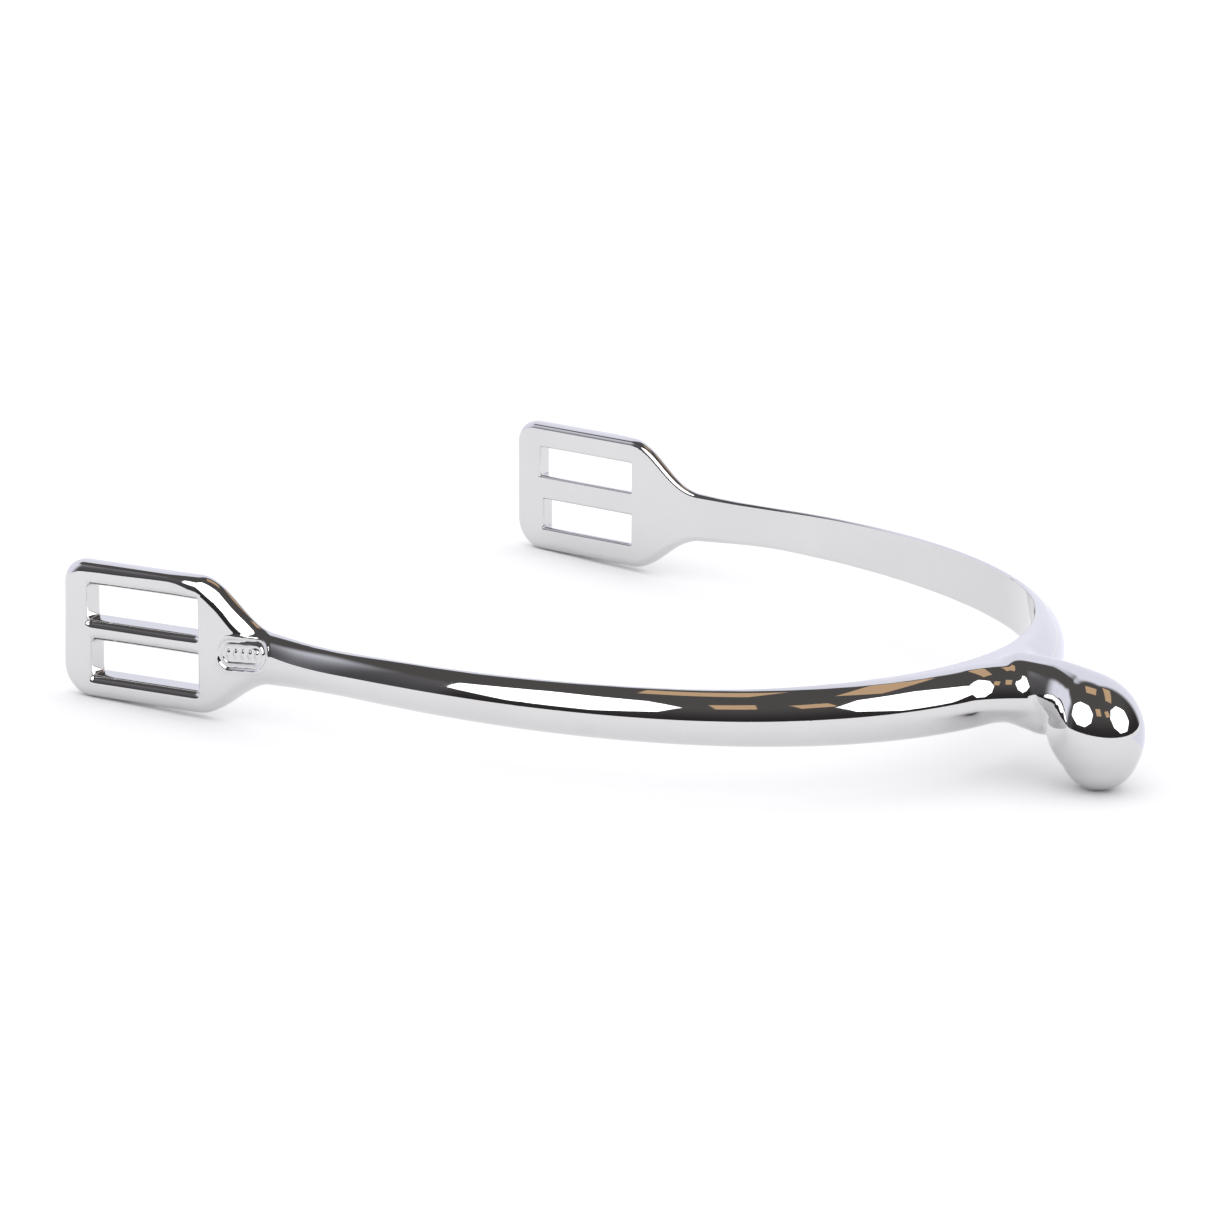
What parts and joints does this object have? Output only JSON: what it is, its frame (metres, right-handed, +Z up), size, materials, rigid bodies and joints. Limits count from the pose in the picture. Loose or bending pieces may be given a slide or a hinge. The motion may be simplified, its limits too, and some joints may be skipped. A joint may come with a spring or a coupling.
{
  "type": "riding spur",
  "caption": "Drop-end riding spur: a polished half-oval heel band with two slotted flat strap ends and a drooping egg-shaped blunt knob.",
  "frame": {"origin": "under the middle of the spur's length and width, on the surface it rests on: it stands on the bottom of its knob and on the lower front corners of both strap ends", "axes": "+X runs back from the strap ends to the knob (the wearer faces -X), +Y to the wearer's right, +Z up; the spur is the same on both sides of the XZ plane"},
  "size_m": [0.1115, 0.0878, 0.0158],
  "materials": {
    "heel_band": "mirror polished outside, slightly duller polish on the flat inner face",
    "left_strap_end": "mirror polished, with a fine struck mark on the outer face replaced by a plain raised bead pattern",
    "right_strap_end": "mirror polished",
    "neck_and_knob": "mirror polished"
  },
  "bodies": {
    "root": {"heel_band": "heel_band", "left_strap_end": "left_strap_end", "right_strap_end": "right_strap_end", "neck_and_knob": "neck_and_knob"}
  },
  "joints": []
}
